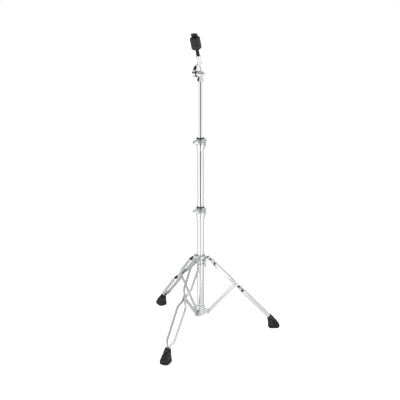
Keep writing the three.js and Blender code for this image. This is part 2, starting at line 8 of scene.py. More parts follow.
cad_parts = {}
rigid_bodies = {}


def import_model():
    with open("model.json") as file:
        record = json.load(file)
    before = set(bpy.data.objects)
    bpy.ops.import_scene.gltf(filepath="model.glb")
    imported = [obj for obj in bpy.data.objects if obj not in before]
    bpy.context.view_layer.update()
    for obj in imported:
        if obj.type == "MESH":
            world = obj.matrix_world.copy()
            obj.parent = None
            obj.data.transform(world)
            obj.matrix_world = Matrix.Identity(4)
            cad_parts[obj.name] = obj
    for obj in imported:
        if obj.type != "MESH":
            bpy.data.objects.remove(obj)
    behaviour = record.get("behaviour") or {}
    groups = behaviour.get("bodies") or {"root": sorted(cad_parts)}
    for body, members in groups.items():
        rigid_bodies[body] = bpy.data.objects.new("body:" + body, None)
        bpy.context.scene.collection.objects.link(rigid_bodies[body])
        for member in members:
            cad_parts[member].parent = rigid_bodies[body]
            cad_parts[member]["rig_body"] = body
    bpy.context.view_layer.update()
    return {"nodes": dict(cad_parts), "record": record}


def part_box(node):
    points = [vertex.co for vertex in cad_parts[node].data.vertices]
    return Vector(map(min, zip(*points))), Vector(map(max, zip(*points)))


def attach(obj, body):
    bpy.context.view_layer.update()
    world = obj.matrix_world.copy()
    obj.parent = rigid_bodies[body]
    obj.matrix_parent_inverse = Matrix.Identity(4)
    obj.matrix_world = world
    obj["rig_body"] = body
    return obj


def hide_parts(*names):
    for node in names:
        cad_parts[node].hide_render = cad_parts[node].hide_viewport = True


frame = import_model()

bl_info = {
    "name": "Straight cymbal stand",
    "version": (1, 0, 0),
    "blender": (4, 5, 0),
    "location": "3D View > Sidebar > Stand",
    "description": "Chromed straight cymbal stand on a folding double-braced tripod",
    "category": "Add Mesh",
}

TUBE_LOW, TUBE_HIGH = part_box("base_tube")
AXIS = Vector(((TUBE_LOW.x + TUBE_HIGH.x) / 2, (TUBE_LOW.y + TUBE_HIGH.y) / 2, 0.0))


def span(node):
    """Lowest and highest point of a node"""
    low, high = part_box(node)
    return low.z, high.z


def tube_radius(name):
    """Outer radius of one of the three tubes"""
    low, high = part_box(f"{name}_tube")
    return (high.y - low.y) / 2


HUB_LOW, HUB_HIGH = span("lower_hub")
COLLAR_LOW, COLLAR_HIGH = span("leg_collar")
UPPER_TOP = span("upper_tube")[1]

# Radii of bores and holes

BASE_BORE = 0.0146
COLLAR_BORE = 0.0167
SCREW_HOLE = 0.0033
TILTER_HOLE = 0.0038
SLEEVE_HOLE = 0.0066

# Sizes that several pieces share

BOLT_OUT = 0.0258  # from the tube's axis to the clamp bolts and to the head of the collar's bolt
BOLT_DROP = 0.0095  # from a clamp's top down to its bolt
LINK_RADIUS = 0.007  # ends of the braces and of the hub's lugs
STRIP_END = 0.024  # from the boot's mouth to the end of a leg's strips
CLOSED = 0.00455  # half distance of a leg's two strips where they lie together
FELT_LOW = 0.094  # from the tilter's pivot to the lower felt, along the rod
PAST = 0.01  # how far a tool reaches beyond the piece that it cuts
FINE_BEVEL = 0.0003  # rounding of the smallest pieces' edges
EDGE_ANGLE = math.radians(32)  # edges sharper than this are rounded, and not shaded smooth
TUBE_ROUND, ROUND, SLIM_ROUND, RIVET_ROUND, HEXAGON = 96, 72, 48, 32, 6  # numbers of sides

# Turns of a piece: its Z axis to X, its X axis to Y, or a wing bolt's shank to X and wings to Y

UNMOVED = Matrix.Identity(4)
TO_X = Matrix.Rotation(math.pi / 2, 4, "Y")
TO_Y = Matrix.Rotation(math.pi / 2, 4, "Z")
WING_TURN = Matrix(((0, 0, 1, 0), (1, 0, 0, 0), (0, 1, 0, 0), (0, 0, 0, 1)))

# Boot, from the floor to its mouth: shares of the mouth's height, of the sole's place outwards,
# of the growth from mouth to sole, and of the leg's lean

BOOT_SECTIONS = ((0, 1, 0.8, 0), (0.057, 1, 1, 0), (0.189, 1, 1, 0.046),
                 (0.33, 0.887, 0.853, 0.184), (0.497, 0.677, 0.627, 0.391),
                 (0.681, 0.426, 0.38, 0.644), (0.853, 0.195, 0.165, 0.874), (1, 0, 0, 1))

# Wing bolts: radius and length of the shank, then the head's hub radius, height, breadth and
# lobe radius

CLAMP_BOLT = (0.003, 0.038, 0.0054, 0.0105, 0.030, 0.0062)
COLLAR_BOLT = (0.003, 0.0086, 0.006, 0.010, 0.042, 0.0064)
TILTER_BOLT = (0.0035, 0.0415, 0.006, 0.0105, 0.032, 0.0062)

# Tilter's post: radius, and height above the end of the upper tube

POST_PROFILE = ((0.0, 0.0003), (0.0111, 0.0003), (0.0111, -0.010), (0.013, -0.010),
                (0.0121, 0.002), (0.009, 0.0076), (0.009, 0.0139), (0.0079, 0.0146), (0.0, 0.0146))

# Tilter's arm: height above the pivot, left end, right end, half depth and turn in degrees

ARM_SECTIONS = ((0.0129, -0.028, 0.0086, 0.006, 0), (0.016, -0.028, 0.0083, 0.0062, 5),
                (0.02, -0.027, 0.0074, 0.0062, 12), (0.024, -0.0246, 0.0062, 0.0062, 20),
                (0.028, -0.0212, 0.0052, 0.0064, 28), (0.032, -0.017, 0.0046, 0.0068, 35),
                (0.036, -0.0128, 0.0052, 0.0074, 40), (0.04, -0.009, 0.0074, 0.008, 44),
                (0.044, -0.0058, 0.0104, 0.0084, 46), (0.049, -0.0036, 0.0134, 0.0086, 46))

# Lamps: name, place from the foot of the tube, width and power

LAMPS = (("key softbox", (-1.0, -2.3, 2.6), 1.8, 26.0),
         ("fill softbox", (2.0, -1.2, 1.8), 1.6, 12.0))


# Settings

def length(label, words, default):
    return bpy.props.FloatProperty(name=label, description=words, default=default, min=0.0,
                                   unit="LENGTH", precision=5)


def angle(label, words, degrees):
    return bpy.props.FloatProperty(name=label, description=words, default=math.radians(degrees),
                                   subtype="ANGLE", unit="ROTATION")


def colour(label, words, default):
    return bpy.props.FloatVectorProperty(name=label, description=words, default=default, size=3,
                                         min=0.0, max=1.0, subtype="COLOR")


def share(label, words, default):
    return bpy.props.FloatProperty(name=label, description=words, default=default, min=0.0,
                                   max=1.0, subtype="FACTOR")


class StandSizes(bpy.types.PropertyGroup):
    """Main sizes of the stand"""
    tube_wall: length("Tube wall", "Sheet thickness of the three tubes", 0.0012)
    pivot_radius: length("Pivot radius", "Distance of hub and collar pivots from the tube's axis",
                         0.0295)
    hub_pivot: length("Hub pivot height", "Height of the lower pivots", HUB_LOW + 0.008)
    link_length: length("Link length", "Distance between the pivots of a brace", 0.152)
    leg_lean: angle("Leg lean", "Angle of the legs from the vertical", 43.5)
    leg_azimuth: angle("Leg azimuth", "Turn of the first leg about the tube", 4.8)
    boss_azimuth: angle("Collar bolt azimuth", "Turn of the collar's bolt about the tube", 304.8)
    strip_width: length("Strip width", "Width of a leg's channel strip", 0.013)
    strip_depth: length("Strip depth", "Depth of a leg's channel strip", 0.0045)
    strip_sheet: length("Strip sheet", "Sheet thickness of a channel strip", 0.0015)
    mouth_height: length("Boot mouth height", "Height of the middle of a boot's mouth", 0.0455)
    brace_thickness: length("Brace thickness", "Thickness of the flat braces and lugs", 0.004)
    clearance: length("Clearance", "Gap between pieces that touch", 0.0003)
    felt_radius: length("Felt radius", "Radius of the two felts", 0.018)
    felt_height: length("Felt height", "Height of one felt", 0.0187)
    tilter_height: length("Tilter height", "Height of the tilter's pivot above the floor",
                          UPPER_TOP + 0.021)
    rod_offset: length("Rod offset", "Distance of the rod's axis from the tube's, along the pivot",
                       0.005)
    tilter_turn: angle("Tilter turn", "Turn of the tilter's bolt about the tube", -32)
    tilter_lean: angle("Tilter lean", "Lean of the rod from the vertical", 20)


class FinishColours(bpy.types.PropertyGroup):
    """Colours and roughness of the finishes"""
    chrome: colour("Chrome", "Tone of the chrome plate", (0.655, 0.66, 0.665))
    chrome_roughness: share("Chrome roughness", "Roughness of the chrome plate", 0.06)
    # Painted shade: the inside of the channel strips gets a darker, duller plating than the chrome
    shaded_hollow: colour("Channel inside", "Tone of the plating inside the strips", (0.60, 0.605, 0.61))
    steel: colour("Steel", "Tone of rivets, nuts and rod", (0.70, 0.705, 0.71))
    rubber: colour("Rubber", "Colour of the boots", (0.008, 0.008, 0.009))
    nylon: colour("Nylon", "Colour of bushings, sleeve and wing nut", (0.004, 0.004, 0.005))
    felt: colour("Felt", "Colour of the felts", (0.012, 0.012, 0.013))
    floor: colour("Floor", "Colour of the floor", (0.95, 0.95, 0.95))


class StudioSettings(bpy.types.PropertyGroup):
    """Camera and light"""
    distance: length("Camera distance", "Level distance of the camera from the tube", 2.5)
    height: length("Camera height", "Height of the camera above the floor", 1.245)
    pitch: angle("Camera pitch", "Angle that the camera looks down", 16.2)
    focal: bpy.props.FloatProperty(name="Focal length", min=1.0, default=64.17,
                                   description="Focal length for a 36 mm sensor",
                                   subtype="DISTANCE_CAMERA")
    # The flag is a card that only mirror rays see: a painted dark reflection on the tubes
    flag_width: length("Flag width", "Width of the dark card that the tubes mirror", 0.86)
    flag_height: length("Flag height", "Height of the dark card that the tubes mirror", 0.85)
    sky: share("Sky", "Brightness of the surroundings near the horizon", 1.0)
    room: share("Room", "Brightness of the upper part of the room behind the stand", 0.05)
    ceiling: share("Ceiling", "Brightness of the surroundings overhead", 0.68)


# Shader expressions

class Wire:
    """A shader socket that can be used in sums, on either side of the sign"""

    def __init__(self, tree, socket):
        self.tree = tree
        self.socket = socket

    def combine(self, operation, first, second):
        terms = {0: first, 1: second}
        return self.tree.node("ShaderNodeMath", {"operation": operation}, terms).out("Value")

    def __add__(self, other):
        return self.combine("ADD", self, other)

    def __radd__(self, other):
        return self.combine("ADD", other, self)

    def __sub__(self, other):
        return self.combine("SUBTRACT", self, other)

    def __rsub__(self, other):
        return self.combine("SUBTRACT", other, self)

    def __mul__(self, other):
        return self.combine("MULTIPLY", self, other)

    def __rmul__(self, other):
        return self.combine("MULTIPLY", other, self)


class Placed:
    """A node whose outputs are asked for by name"""

    def __init__(self, tree, node):
        self.tree = tree
        self.inner = node

    def out(self, name):
        return Wire(self.tree, self.inner.outputs[name])


class Tree:
    """A node tree that adds and links its nodes"""

    def __init__(self, tree):
        self.nodes = tree.nodes
        self.links = tree.links

    def node(self, kind, settings=None, values=None):
        """Adds a node with its settings and the values of its inputs, each a number or a wire"""
        made = self.nodes.new(kind)
        for key, value in (settings or {}).items():
            if key == "stops":
                for stop, (position, shade) in zip(made.color_ramp.elements, value):
                    stop.position, stop.color = position, shade
            else:
                setattr(made, key, value)
        for key, value in (values or {}).items():
            self.put(made.inputs[key], value)
        return Placed(self, made)

    def put(self, socket, value):
        if isinstance(value, Wire):
            self.links.new(value.socket, socket)
        else:
            socket.default_value = value

    def blend(self, factor, first, second):
        """Mixes two colours, whose sockets share their names with others of the node"""
        values = {0: factor, 6: first, 7: second}
        return self.node("ShaderNodeMix", {"data_type": "RGBA"}, values).out(2)

    def smoothstep(self, value, start, end):
        settings = {"interpolation_type": "SMOOTHSTEP"}
        return self.node("ShaderNodeMapRange", settings, {0: value, 1: start, 2: end}).out(0)


class Finish(Tree):
    """One material and its nodes"""

    def __init__(self, name):
        self.material = bpy.data.materials.new(name)
        self.material.use_nodes = True
        super().__init__(self.material.node_tree)
        self.shader = self.nodes["Principled BSDF"]

    def shade(self, **values):
        for key, value in values.items():
            self.put(self.shader.inputs[key.replace("_", " ")], value)

    def noise(self, scale, detail, roughness=0.55):
        place = self.node("ShaderNodeTexCoord").out("Object")
        values = {"Vector": place, "Scale": scale, "Detail": detail, "Roughness": roughness}
        return self.node("ShaderNodeTexNoise", {}, values).out("Fac")

    def tint(self, factor, colour, low, high):
        """Base colour between two tones of a colour"""
        self.shade(Base_Color=self.blend(factor, tone(colour, low), tone(colour, high)))

    def bump(self, height, strength, distance):
        values = {"Height": height, "Strength": strength, "Distance": distance}
        return self.node("ShaderNodeBump", {}, values).out("Normal")


def tone(value, factor=1.0):
    """Colour with alpha, made lighter or darker by a factor"""
    return (value[0] * factor, value[1] * factor, value[2] * factor, 1.0)


def chrome_finish(colours):
    """Bright plate with a faint haze"""
    finish = Finish("chrome plate")
    haze = finish.noise(scale=90.0, detail=4.0)
    finish.tint(haze, colours.chrome, 1.0, 0.94)
    finish.shade(Metallic=1.0, Roughness=haze * 0.05 + (colours.chrome_roughness - 0.02))
    return finish.material


def shaded_hollow_finish(colours):
    """Thin, dull plating inside a strip, with a darker tone than the chrome as painted shade"""
    finish = Finish("channel inside with painted shade")
    haze = finish.noise(scale=240.0, detail=4.0)
    finish.tint(haze, colours.shaded_hollow, 1.0, 1.3)
    finish.shade(Metallic=1.0, Roughness=haze * 0.15 + 0.26)
    return finish.material


def steel_finish(colours):
    """Dull, fine-grained plate of the small parts"""
    finish = Finish("zinc steel")
    grain = finish.noise(scale=700.0, detail=5.0)
    finish.tint(grain, colours.steel, 1.0, 0.8)
    finish.shade(Metallic=1.0, Roughness=grain * 0.2 + 0.22,
                 Normal=finish.bump(grain, strength=0.15, distance=0.0002))
    return finish.material


def rubber_finish(colours):
    """Matt rubber with lighter streaks, random tone that partly paints in highlights"""
    finish = Finish("moulded rubber")
    grain = finish.noise(scale=1600.0, detail=2.0)
    dust = finish.noise(scale=60.0, detail=4.0)
    # Lighter streaks: random tone, partly painted highlights that stand in for the light on the
    # boots' ribs
    streaks_and_highlights = finish.noise(scale=130.0, detail=2.0) * 4.5 - 1.9
    finish.tint(streaks_and_highlights, colours.rubber, 0.5, 5.0)
    finish.shade(Roughness=dust * 0.18 + 0.36, Specular_IOR_Level=0.2,
                 Normal=finish.bump(grain, strength=0.35, distance=0.0002))
    return finish.material


def nylon_finish(colours):
    """Fine-grained black plastic"""
    finish = Finish("moulded nylon")
    grain = finish.noise(scale=1100.0, detail=2.0)
    finish.tint(grain, colours.nylon, 1.0, 1.4)
    finish.shade(Roughness=grain * 0.12 + 0.42, Specular_IOR_Level=0.25,
                 Normal=finish.bump(grain, strength=0.18, distance=0.00015))
    return finish.material


def felt_finish(colours):
    """Mottled felt with a rough surface"""
    finish = Finish("pressed felt")
    fibre = finish.noise(scale=900.0, detail=6.0, roughness=0.8)
    mottle = finish.noise(scale=180.0, detail=3.0)
    finish.tint(mottle * 0.6 + fibre * 0.4, colours.felt, 0.7, 1.7)
    finish.shade(Roughness=0.97, Sheen_Weight=0.2,
                 Normal=finish.bump(fibre, strength=0.8, distance=0.0006))
    return finish.material


MAKERS = {"chrome": chrome_finish, "shaded_hollow": shaded_hollow_finish, "steel": steel_finish,
          "rubber": rubber_finish, "nylon": nylon_finish, "felt": felt_finish}
MADE = {}


def finish_for(slot):
    if slot not in MADE:
        MADE[slot] = MAKERS[slot](bpy.context.scene.stand_colours)
    return MADE[slot]


# Mesh tools

def mesh_object(name, build):
    """Object from a bmesh, which is used up"""
    mesh = bpy.data.meshes.new(name)
    bmesh.ops.recalc_face_normals(build, faces=build.faces)
    build.to_mesh(mesh)
    build.free()
    made = bpy.data.objects.new(name, mesh)
    bpy.context.scene.collection.objects.link(made)
    return made


def turned(name, profile, sides=ROUND, matrix=UNMOVED):
    """Solid of revolution about Z; a profile that leaves the axis is closed on itself"""
    build = bmesh.new()
    solid = profile[0][0] == 0.0
    columns = []
    for step in range(sides):
        turn = 2 * math.pi * step / sides
        columns.append([build.verts.new((radius * math.cos(turn), radius * math.sin(turn), height))
                        if radius else None for radius, height in profile])
    poles = {row: build.verts.new((0.0, 0.0, height))
             for row, (radius, height) in enumerate(profile) if not radius}
    rows = len(profile) - 1 if solid else len(profile)
    for step in range(sides):
        here, there = columns[step], columns[(step + 1) % sides]
        for row in range(rows):
            after = (row + 1) % len(profile)
            corners = [here[row] or poles.get(row), there[row] or poles.get(row),
                       there[after] or poles.get(after), here[after] or poles.get(after)]
            distinct = list(dict.fromkeys(corners))
            if len(distinct) > 2:
                build.faces.new(distinct)
    build.transform(matrix)
    return mesh_object(name, build)


def ring(name, inner, profile, sides=ROUND, matrix=UNMOVED):
    """Solid of revolution with a bore, from the profile of its outside"""
    closed = [(inner, profile[0][1])] + list(profile) + [(inner, profile[-1][1])]
    return turned(name, closed, sides, matrix)


def rod(name, radius, low, high, matrix=UNMOVED):
    profile = [(0.0, low), (radius, low), (radius, high), (0.0, high)]
    return turned(name, profile, SLIM_ROUND, matrix)


def edged(radius, low, high, edge):
    """Profile of a round piece with a chamfer at both rims"""
    inside = radius - edge
    return [(inside, low), (radius, low + edge), (radius, high - edge), (inside, high)]


def plate(name, outline, thickness, matrix=UNMOVED):
    """Flat plate with its outline in XZ and its thickness about Y"""
    build = bmesh.new()
    front = [build.verts.new((x, -thickness / 2, z)) for x, z in outline]
    back = [build.verts.new((x, thickness / 2, z)) for x, z in outline]
    build.faces.new(front)
    build.faces.new(list(reversed(back)))
    for step in range(len(outline)):
        after = (step + 1) % len(outline)
        build.faces.new((front[step], back[step], back[after], front[after]))
    build.transform(matrix)
    return mesh_object(name, build)


def arc(centre, radius, start, end, steps=10):
    """Points of an arc between two angles"""
    turns = [start + (end - start) * step / steps for step in range(steps + 1)]
    return [(centre[0] + radius * math.cos(turn), centre[1] + radius * math.sin(turn))
            for turn in turns]


def slot_outline(start, end, radius):
    """Outline with two round ends about two points"""
    turn = math.atan2(end[1] - start[1], end[0] - start[0])
    return (arc(start, radius, turn + math.pi / 2, turn + 1.5 * math.pi)
            + arc(end, radius, turn - math.pi / 2, turn + math.pi / 2))


def rectangle(left, right, low, high):
    return [(left, low), (right, low), (right, high), (left, high)]


def superellipse(points, exponent, along, wide):
    """Points of a rounded rectangle about the origin, given its half sizes"""
    power = 2 / exponent
    found = []
    for step in range(points):
        cosine, sine = math.cos(2 * math.pi * step / points), math.sin(2 * math.pi * step / points)
        found.append((math.copysign(abs(cosine) ** power, cosine) * along,
                      math.copysign(abs(sine) ** power, sine) * wide))
    return found


def lofted(name, rings):
    """Skin through closed rings, with flat ends"""
    build = bmesh.new()
    rows = [[build.verts.new(point) for point in points] for points in rings]
    count = len(rings[0])
    for low, high in zip(rows, rows[1:]):
        for step in range(count):
            after = (step + 1) % count
            build.faces.new((low[step], low[after], high[after], high[step]))
    build.faces.new(list(reversed(rows[0])))
    build.faces.new(rows[-1])
    return mesh_object(name, build)


def combined(target, tools, operation="UNION"):
    """Joins tools to the target, or cuts them from it, and removes the tools"""
    for tool in tools:
        modifier = target.modifiers.new("combine", "BOOLEAN")
        modifier.object = tool
        modifier.operation = operation
        modifier.solver = "EXACT"
    evaluated = target.evaluated_get(bpy.context.evaluated_depsgraph_get())
    mesh = bpy.data.meshes.new_from_object(evaluated)
    target.modifiers.clear()
    target.data = mesh
    for tool in tools:
        bpy.data.objects.remove(tool)
    return target


def cut(target, tools):
    return combined(target, tools, "DIFFERENCE")


def smoothing():
    """Node group that shades smooth but keeps the edges that are sharper than EDGE_ANGLE"""
    if "smooth by angle" in bpy.data.node_groups:
        return bpy.data.node_groups["smooth by angle"]
    group = bpy.data.node_groups.new("smooth by angle", "GeometryNodeTree")
    for direction in ("INPUT", "OUTPUT"):
        group.interface.new_socket("Geometry", in_out=direction, socket_type="NodeSocketGeometry")
    tree = Tree(group)
    entry = tree.node("NodeGroupInput")
    edge = tree.node("GeometryNodeInputMeshEdgeAngle").out("Unsigned Angle")
    blunt = tree.node("FunctionNodeCompare", {"data_type": "FLOAT", "operation": "LESS_THAN"},
                      {0: edge, 1: EDGE_ANGLE}).out(0)
    faces = tree.node("GeometryNodeSetShadeSmooth", {}, {"Geometry": entry.out(0)}).out(0)
    edges = tree.node("GeometryNodeSetShadeSmooth", {"domain": "EDGE"},
                      {"Geometry": faces, "Shade Smooth": blunt})
    tree.node("NodeGroupOutput", {}, {0: edges.out(0)})
    return group


def smoothed(piece, bevel, segments):
    """Adds the modifiers that round a piece's edges and shade it smooth"""
    if bevel:
        modifier = piece.modifiers.new("rounded edges", "BEVEL")
        modifier.width = bevel
        modifier.segments = segments
        modifier.limit_method = "ANGLE"
        modifier.angle_limit = EDGE_ANGLE
    modifier = piece.modifiers.new("smooth shading", "NODES")
    modifier.node_group = smoothing()


def slot_of(node):
    """Material slot that the record gives a node"""
    for entry in frame["record"]["subparts"]:
        if entry["node"] == node:
            return entry["material_slot"]
    raise ValueError(f"no subpart row for {node}")


def fit(piece, node, bevel=FINE_BEVEL, segments=3, place=UNMOVED):
    """Puts a finished piece in the place of a node"""
    piece.data.transform(place)
    slot = slot_of(node)
    inner = []
    # A strip's inner faces get a second material, the duller plating with painted shade
    if len(piece.data.materials) > 1:
        inner = [face.material_index for face in piece.data.polygons]
    piece.data.materials.clear()
    piece.data.materials.append(finish_for(slot))
    if inner:
        piece.data.materials.append(finish_for("shaded_hollow"))
        piece.data.polygons.foreach_set("material_index", inner)
    smoothed(piece, bevel, segments)
    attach(piece, frame["nodes"][node]["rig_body"])
    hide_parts(node)


def dress(node):
    """Keeps a node's own solid, with rounded edges and its finish"""
    kept = frame["nodes"][node]
    weld = kept.modifiers.new("weld", "WELD")
    weld.merge_threshold = 0.00001
    smoothed(kept, FINE_BEVEL, segments=2)
    kept.data.materials.clear()
    kept.data.materials.append(finish_for(slot_of(node)))


# Places of the pieces

def moved(x, y, z):
    return Matrix.Translation((x, y, z))


def spun(turn, axis="Z"):
    return Matrix.Rotation(turn, 4, axis)


def upright_at(height=0.0):
    return Matrix.Translation(AXIS + Vector((0.0, 0.0, height)))


def leaning(sizes, offset=0.0):
    """Place of the tilter's head, or of the rod's axis at an offset along the pivot"""
    return (upright_at(sizes.tilter_height) @ spun(sizes.tilter_turn) @ spun(sizes.tilter_lean, "X")
            @ moved(offset, 0.0, 0.0))


def leg_turns(sizes):
    """Turn of each leg about the tube"""
    first = sizes.leg_azimuth
    return {leg: spun(first + order * 2 * math.pi / 3) for order, leg in enumerate("cab")}


def upper_pivot(sizes):
    """Distance from the tube's axis and height of a leg's pivot at the collar"""
    rise = 2 * sizes.link_length * math.cos(sizes.leg_lean)
    return (sizes.pivot_radius, sizes.hub_pivot + rise)


def leg_point(sizes, distance, across=0.0):
    """Distance from the tube's axis and height of a point on a leg"""
    x, z = upper_pivot(sizes)
    sine, cosine = math.sin(sizes.leg_lean), math.cos(sizes.leg_lean)
    return (x + distance * sine + across * cosine, z - distance * cosine + across * sine)


def mouth_at(sizes):
    """Distance of the boot's mouth along a leg"""
    return (upper_pivot(sizes)[1] - sizes.mouth_height) / math.cos(sizes.leg_lean)


def bows(sizes):
    """Start, rise, start of fall, fall, first and last half distance of a leg's two bows"""
    return ((0.005, 0.030, 0.114, 0.031, 0.0155, 0.0146),
            (0.159, 0.034, mouth_at(sizes) - 0.030, 0.028, 0.0168, 0.0142))


def eased(portion):
    """Smooth step between 0 and 1"""
    held = min(max(portion, 0.0), 1.0)
    return held * held * (3 - 2 * held)


def bow_at(sizes, distance):
    """Half distance between a leg's two strips at a distance along the leg"""
    offset = CLOSED
    for start, rise, fall_start, fall, first, last in bows(sizes):
        end = fall_start + fall
        wide = first + (last - first) * ((distance - start) / (end - start)) - CLOSED
        offset += wide * eased((distance - start) / rise) * eased((end - distance) / fall)
    return offset


# Operators, one for each group of like pieces

class StandOperator:
    """Shared options of the stand's operators"""
    bl_options = {"REGISTER", "UNDO"}


class STAND_OT_tubes(StandOperator, bpy.types.Operator):
    """Adds the three telescoping tubes and the end plug"""
    bl_idname = "stand.tubes"
    bl_label = "Tubes"

    def execute(self, context):
        sizes = context.scene.stand_sizes
        for name in ("base", "middle", "upper"):
            radius, (low, high) = tube_radius(name), span(f"{name}_tube")
            profile = edged(radius, low, high, edge=0.0004)
            tube = ring(f"{name}_tube_chromed", radius - sizes.tube_wall, profile, TUBE_ROUND,
                        upright_at())
            fit(tube, f"{name}_tube", bevel=0.0)
        dress("base_end_plug")
        return {"FINISHED"}


class STAND_OT_hub(StandOperator, bpy.types.Operator):
    """Adds the lower hub, the leg collar and its bushing"""
    bl_idname = "stand.hub"
    bl_label = "Hub and collar"

    def execute(self, context):
        sizes = context.scene.stand_sizes
        self.hub(sizes)
        self.collar(sizes)
        self.liner()
        return {"FINISHED"}

    def lug(self, root, low, high, pivot, radius, end):
        """Outline of a lug from the tube's side to its round end, which stops at an angle"""
        return [(root, low), *arc(pivot, radius, -math.pi / 2, math.radians(end)), (root, high)]

    def hub(self, sizes):
        low, high, edge, fork = HUB_LOW, HUB_HIGH, 0.0012, 0.0043
        body = ring("hub_body", BASE_BORE, edged(0.0166, low, high, edge))
        pivot = (sizes.pivot_radius, sizes.hub_pivot)
        outline = self.lug(0.0144, low + edge, low + 0.024, pivot, LINK_RADIUS, 55)
        lugs = [plate("lug", outline, sizes.brace_thickness, turn @ moved(0, side * fork, 0))
                for turn in leg_turns(sizes).values() for side in (-1, 1)]
        bore = rod("bore", BASE_BORE, low - PAST, high + PAST)
        piece = cut(combined(body, lugs), [bore])
        fit(piece, "lower_hub", bevel=0.0006, place=upright_at())

    def collar(self, sizes):
        low, high = COLLAR_LOW, COLLAR_HIGH
        body = ring("collar_body", COLLAR_BORE, edged(0.0195, low, high, edge=0.0016))
        pivot = upper_pivot(sizes)
        outline = self.lug(0.017, pivot[1] - 0.0125, pivot[1] + 0.0095, pivot, 0.0062, 60)
        lugs = [plate("lug", outline, sizes.brace_thickness, turn)
                for turn in leg_turns(sizes).values()]
        boss = spun(sizes.boss_azimuth) @ moved(0, 0, pivot[1] - 0.0055) @ TO_X
        lugs.append(rod("boss", 0.007, 0.017, 0.0255, boss))
        tools = [rod("bore", COLLAR_BORE, low - PAST, high + PAST),
                 rod("thread", SCREW_HOLE, 0.01, 0.03, boss)]
        piece = cut(combined(body, lugs), tools)
        fit(piece, "leg_collar", bevel=0.0006, place=upright_at())

    def liner(self):
        low, high = span("leg_collar_bushing")
        radius, flange_radius, flange = 0.0164, 0.0178, 0.0016
        profile = [(flange_radius, low), (flange_radius, low + flange), (radius, low + flange),
                   (radius, high)]
        liner = ring("collar_liner", BASE_BORE, profile, ROUND, upright_at())
        fit(liner, "leg_collar_bushing")


class STAND_OT_legs(StandOperator, bpy.types.Operator):
    """Adds the leg strips, braces, spacers and rivets"""
    bl_idname = "stand.legs"
    bl_label = "Legs and braces"

    def execute(self, context):
        sizes = context.scene.stand_sizes
        mouth, low = mouth_at(sizes), (sizes.pivot_radius, sizes.hub_pivot)
        middle, foot = leg_point(sizes, sizes.link_length), leg_point(sizes, mouth + 0.019)
        # Place, half length without the heads, and height of a head
        rivets = {"upper": (upper_pivot(sizes), 0.0071, 0.0018), "mid": (middle, 0.0071, 0.0018),
                  "lower": (low, 0.0066, 0.0018), "foot": (foot, 0.0071, 0.0008)}
        bar = slot_outline(low, middle, LINK_RADIUS)
        tongue = slot_outline(leg_point(sizes, mouth + 0.012), leg_point(sizes, mouth + STRIP_END),
                              0.006)
        for leg, turn in leg_turns(sizes).items():
            place = upright_at() @ turn
            for side, word in ((1, "left"), (-1, "right")):
                strip = self.strip(sizes, side)
                fit(strip, f"leg_{leg}_strip_{word}", bevel=0.00025, segments=2, place=place)
            fit(plate("brace_bar", bar, sizes.brace_thickness, place), f"brace_{leg}", bevel=0.0006)
            fit(plate("spacer_tongue", tongue, sizes.brace_thickness, place), f"foot_spacer_{leg}",
                bevel=0.0002)
            for word, (at, half, head) in rivets.items():
                spot = place @ moved(at[0], 0.0, at[1]) @ spun(math.pi / 2, "X")
                fit(self.rivet(half, head, spot), f"rivet_{leg}_{word}", bevel=0.0)
        return {"FINISHED"}

    def section(self, sizes):
        """Outline of a channel strip: its outside with two bends, then its inside"""
        half, depth, bend = sizes.strip_width / 2, sizes.strip_depth, 0.0013
        inner, floor = half - sizes.strip_sheet, depth - sizes.strip_sheet
        return ([(half, 0.0)] + arc((half - bend, depth - bend), bend, 0, math.pi / 2, 4)
                + arc((bend - half, depth - bend), bend, math.pi / 2, math.pi, 4) + [(-half, 0.0)]
                + [(-inner, 0.0), (-inner, floor), (inner, floor), (inner, 0.0)])

    def strip(self, sizes, side):
        section = self.section(sizes)
        middle, step = sizes.strip_depth / 2, 0.00005
        rings = []
        for distance in self.stations(sizes):
            slope = (bow_at(sizes, distance + step) - bow_at(sizes, distance - step)) / (2 * step)
            norm = math.hypot(slope, 1.0)
            points = []
            for across, out in section:
                x, z = leg_point(sizes, distance - (out - middle) * slope / norm, across)
                points.append((x, side * (bow_at(sizes, distance) + (out - middle) / norm), z))
            rings.append(points)
        body = lofted("channel_strip", rings)
        self.mark_inside(body, len(section))
        outline = slot_outline(leg_point(sizes, 0.0), leg_point(sizes, mouth_at(sizes) + STRIP_END),
                               sizes.strip_width / 2)
        return combined(body, [plate("ends", outline, 0.08)], "INTERSECT")

    def mark_inside(self, body, count):
        """Gives the faces between the section's four last points the second material, the duller
        plating whose darker tone is painted shade
        """
        for slot in ("chrome", "shaded_hollow"):
            body.data.materials.append(finish_for(slot))
        rows = (len(body.data.polygons) - 2) // count
        for row in range(rows):
            for step in range(count - 4, count - 1):
                body.data.polygons[row * count + step].material_index = 1

    def stations(self, sizes):
        """Distances along a leg at which its strips get a section"""
        found, steps = [-sizes.strip_width], 14
        for rise_start, rise, fall_start, fall, _, _ in bows(sizes):
            for start, run in ((rise_start, rise), (fall_start, fall)):
                found += [start + run * step / steps for step in range(steps + 1)]
        return found + [mouth_at(sizes) + STRIP_END + sizes.strip_width]

    def rivet(self, half, head, place):
        shank, radius, steps = 0.0026, 0.0048, 6
        turns = [math.pi / 2 * step / steps for step in range(steps)]
        dome = [(radius * math.cos(turn), half + head * math.sin(turn)) for turn in turns]
        top = [(shank, half)] + dome + [(0.0, half + head)]
        profile = [(out, -height) for out, height in reversed(top)] + top
        return turned("rivet_domed", profile, RIVET_ROUND, place)


